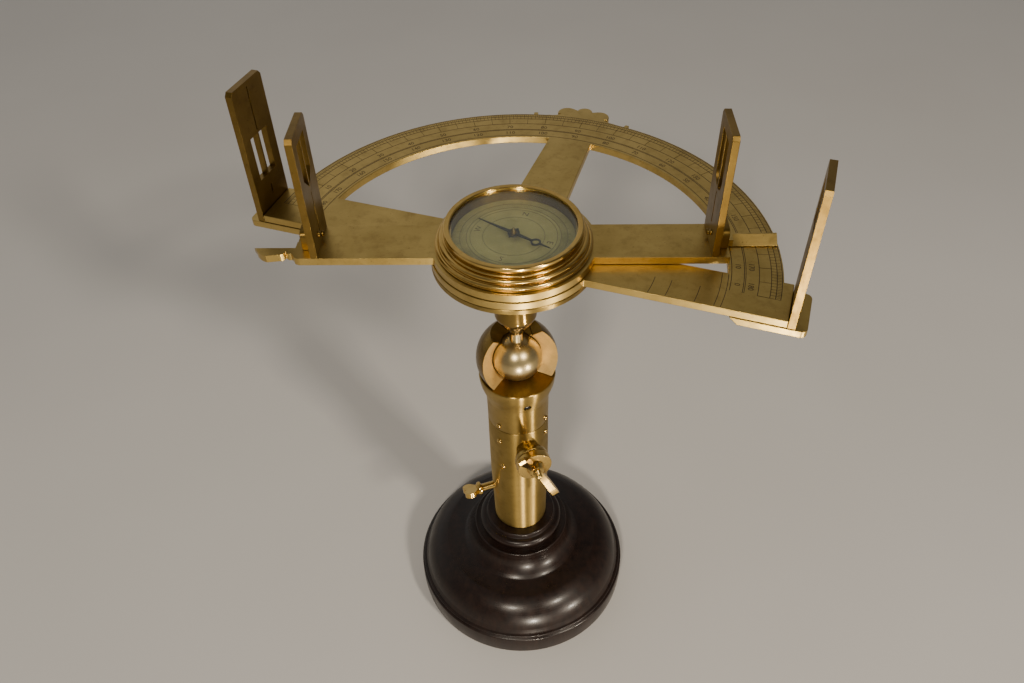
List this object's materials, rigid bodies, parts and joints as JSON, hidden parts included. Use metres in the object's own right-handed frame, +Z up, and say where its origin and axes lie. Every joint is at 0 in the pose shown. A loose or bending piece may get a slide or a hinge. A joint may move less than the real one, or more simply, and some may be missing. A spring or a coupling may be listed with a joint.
{
  "type": "graphometer",
  "caption": "Brass semicircular surveying instrument with fixed and turning slit sights, a central compass, and a ball joint on a socket tube above a turned wooden foot.",
  "frame": {"origin": "centre of the flat underside of the wooden foot", "axes": "+Z up along the foot and socket tube; +X to the right along the alidade; the semicircle's far side towards +Y"},
  "size_m": [0.2696, 0.2, 0.343],
  "materials": {
    "aged_brass": "satin, aged",
    "polished_brass": "polished, lightly tarnished",
    "dark_turned_wood": "polished",
    "blued_steel": "blued",
    "compass_glass": "clear",
    "silvered_dial": "satin, lacquered"
  },
  "bodies": {
    "foot": {"wood_base": "dark_turned_wood", "swivel_peg": "dark_turned_wood"},
    "socket": {"socket_tube": "aged_brass", "socket_head": "aged_brass", "ball_pad": "aged_brass", "joint_screw_left_upper": "aged_brass", "joint_screw_left_lower": "aged_brass", "joint_screw_right_upper": "aged_brass", "joint_screw_right_lower": "aged_brass", "tube_side_screw": "aged_brass", "pad_screw": "blued_steel", "clamp_boss": "aged_brass", "clamp_stud": "aged_brass", "clamp_washer": "polished_brass"},
    "jaw": {"ball_jaw": "aged_brass"},
    "wing": {"wing_nut": "polished_brass"},
    "thumb": {"thumb_screw": "polished_brass"},
    "ball": {"ball_stem": "polished_brass"},
    "plate": {"stem_trumpet": "aged_brass", "centre_boss": "aged_brass", "centre_stud": "blued_steel", "graduated_plate": "aged_brass", "end_plate_left": "aged_brass", "end_plate_right": "aged_brass", "end_plate_screw_left_1": "blued_steel", "end_plate_screw_left_2": "blued_steel", "end_plate_screw_right_1": "blued_steel", "end_plate_screw_right_2": "blued_steel", "sight_foot_screw_left_1": "blued_steel", "sight_foot_screw_left_2": "blued_steel", "sight_foot_screw_right_1": "blued_steel", "sight_foot_screw_right_2": "blued_steel", "fixed_sight_left": "aged_brass", "fixed_sight_right": "aged_brass", "compass_box": "polished_brass", "compass_dial": "silvered_dial", "compass_pivot": "blued_steel", "compass_glass": "compass_glass", "compass_bezel": "polished_brass"},
    "alidade": {"alidade_rule": "aged_brass", "alidade_sight_left": "aged_brass", "alidade_sight_right": "aged_brass", "sight_block_left": "aged_brass", "sight_block_right": "aged_brass", "sight_screw_left_1": "aged_brass", "sight_screw_left_2": "aged_brass", "sight_screw_right_1": "aged_brass", "sight_screw_right_2": "aged_brass"},
    "needle": {"compass_needle": "blued_steel", "needle_cap": "polished_brass"}
  },
  "joints": [
    {"name": "socket_swivel", "type": "hinge", "parent": "foot", "child": "socket", "pos_m": [0, 0, 0.0638], "axis": [0, 0, 1], "continuous": true},
    {"name": "thumb_screw_turn", "type": "hinge", "parent": "socket", "child": "thumb", "pos_m": [0, 0, 0.096], "axis": [-0.9397, -0.342, 0], "continuous": true},
    {"name": "wing_nut_turn", "type": "hinge", "parent": "socket", "child": "wing", "pos_m": [0, 0, 0.145], "axis": [0.309, -0.9511, 0], "range_deg": [0, 180]},
    {"name": "jaw_open", "type": "hinge", "parent": "socket", "child": "jaw", "pos_m": [0.01788, 0.00581, 0.192], "axis": [-0.309, 0.9511, 0], "range_deg": [0, 2]},
    {"name": "ball_tilt", "type": "hinge", "parent": "socket", "child": "ball", "pos_m": [0, 0, 0.2029], "axis": [0.9511, 0.309, 0], "range_deg": [-20, 90]},
    {"name": "head_turn", "type": "hinge", "parent": "ball", "child": "plate", "pos_m": [0, 0, 0.2029], "axis": [0, 0, 1], "continuous": true},
    {"name": "alidade_turn", "type": "hinge", "parent": "plate", "child": "alidade", "pos_m": [0, 0, 0.2764], "axis": [0, 0, 1], "continuous": true},
    {"name": "needle_swing", "type": "hinge", "parent": "plate", "child": "needle", "pos_m": [0, 0, 0.2847], "axis": [0, 0, 1], "continuous": true}
  ],
  "couplings": [
    {"joint": "jaw_open", "follows": "wing_nut_turn", "ratio": 0.011111}
  ]
}
